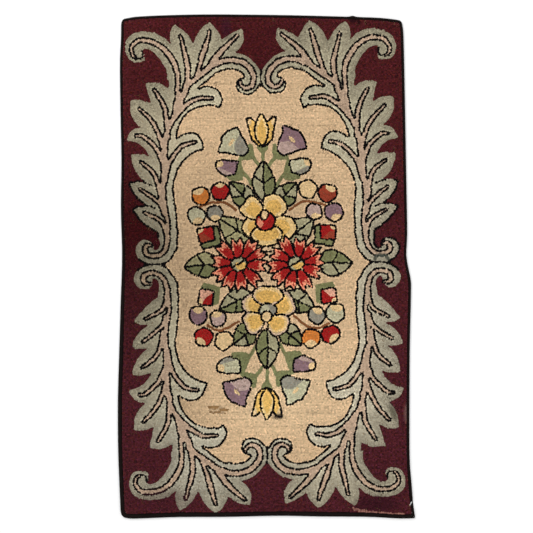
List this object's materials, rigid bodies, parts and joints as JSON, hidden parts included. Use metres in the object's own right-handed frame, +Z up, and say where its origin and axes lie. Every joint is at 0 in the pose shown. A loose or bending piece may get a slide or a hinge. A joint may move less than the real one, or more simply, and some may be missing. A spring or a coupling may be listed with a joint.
{
  "type": "hooked rug",
  "caption": "Flat rectangular hooked wool rug with an uneven bound edge, a scrolled leaf border and a floral oval field, for laying on a floor.",
  "frame": {"origin": "on the floor under the middle of the rug's bounding box", "axes": "+Z up out of the pile, +Y along the rug's length towards its top edge, +X to its right"},
  "size_m": [0.8932, 1.5142, 0.009],
  "materials": {
    "wool_pile": "hooked wool loops in burgundy, sage, cream and mixed flower colours",
    "binding_tape": "dark woven tape, folded over the edge and sewn down"
  },
  "bodies": {
    "root": {"rug_field": "wool_pile", "edge_binding": "binding_tape"}
  },
  "joints": []
}
